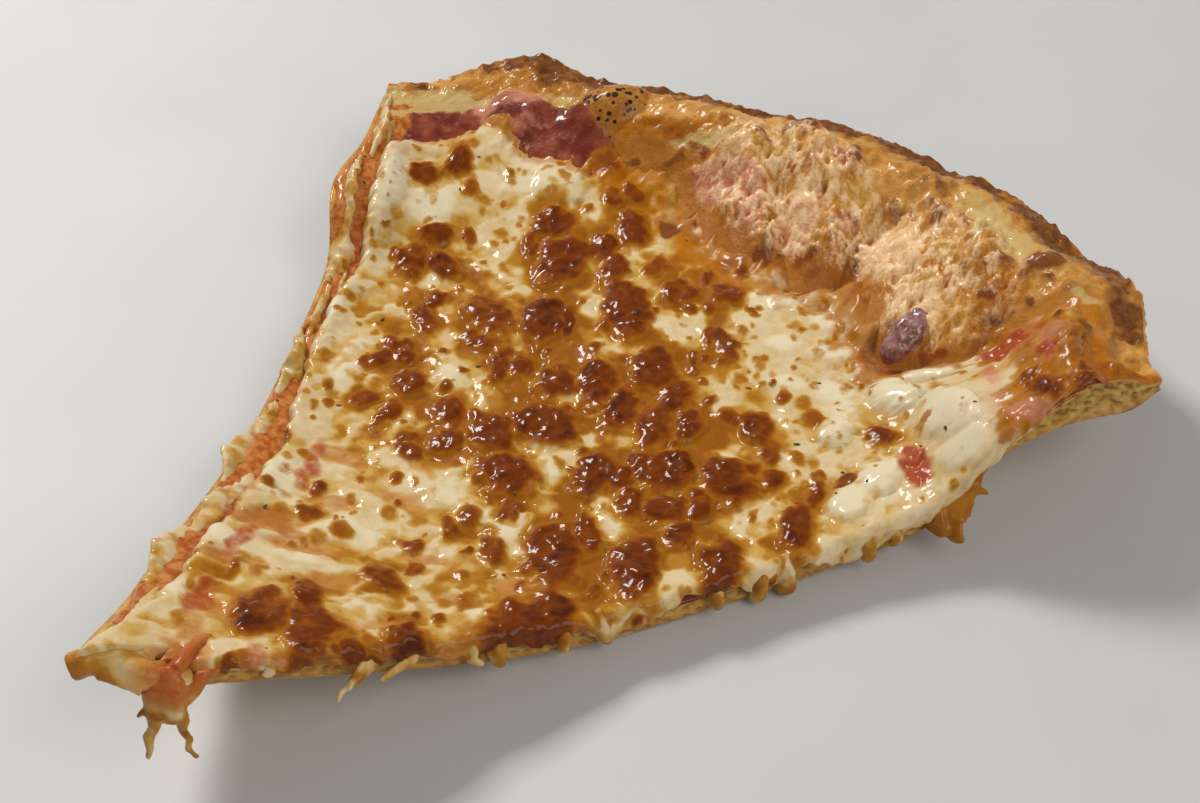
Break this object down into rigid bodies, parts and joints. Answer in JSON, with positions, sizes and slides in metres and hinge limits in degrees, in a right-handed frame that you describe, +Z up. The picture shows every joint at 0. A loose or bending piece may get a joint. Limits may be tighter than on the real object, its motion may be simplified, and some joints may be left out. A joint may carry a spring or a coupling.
{
  "type": "cheese pizza slice",
  "caption": "Large thin-crust cheese pizza slice with a puffed golden crust, tomato sauce and blistered melted cheese, sagging so that its point and corners turn up.",
  "frame": {"origin": "bottom centre of the bounding box, on the surface that the belly rests on", "axes": "+Y from the point to the crust along the middle of the slice, +X towards the right-hand cut, +Z up"},
  "size_m": [0.2032, 0.2286, 0.0366],
  "materials": {
    "crust": "baked, matt, lightly oiled",
    "sauce": "moist, semi-gloss",
    "cheese": "melted, glossy with oil, browned blisters"
  },
  "bodies": {
    "root": {"dough": "crust", "tomato_sauce": "sauce", "cheese": "cheese"}
  },
  "joints": []
}
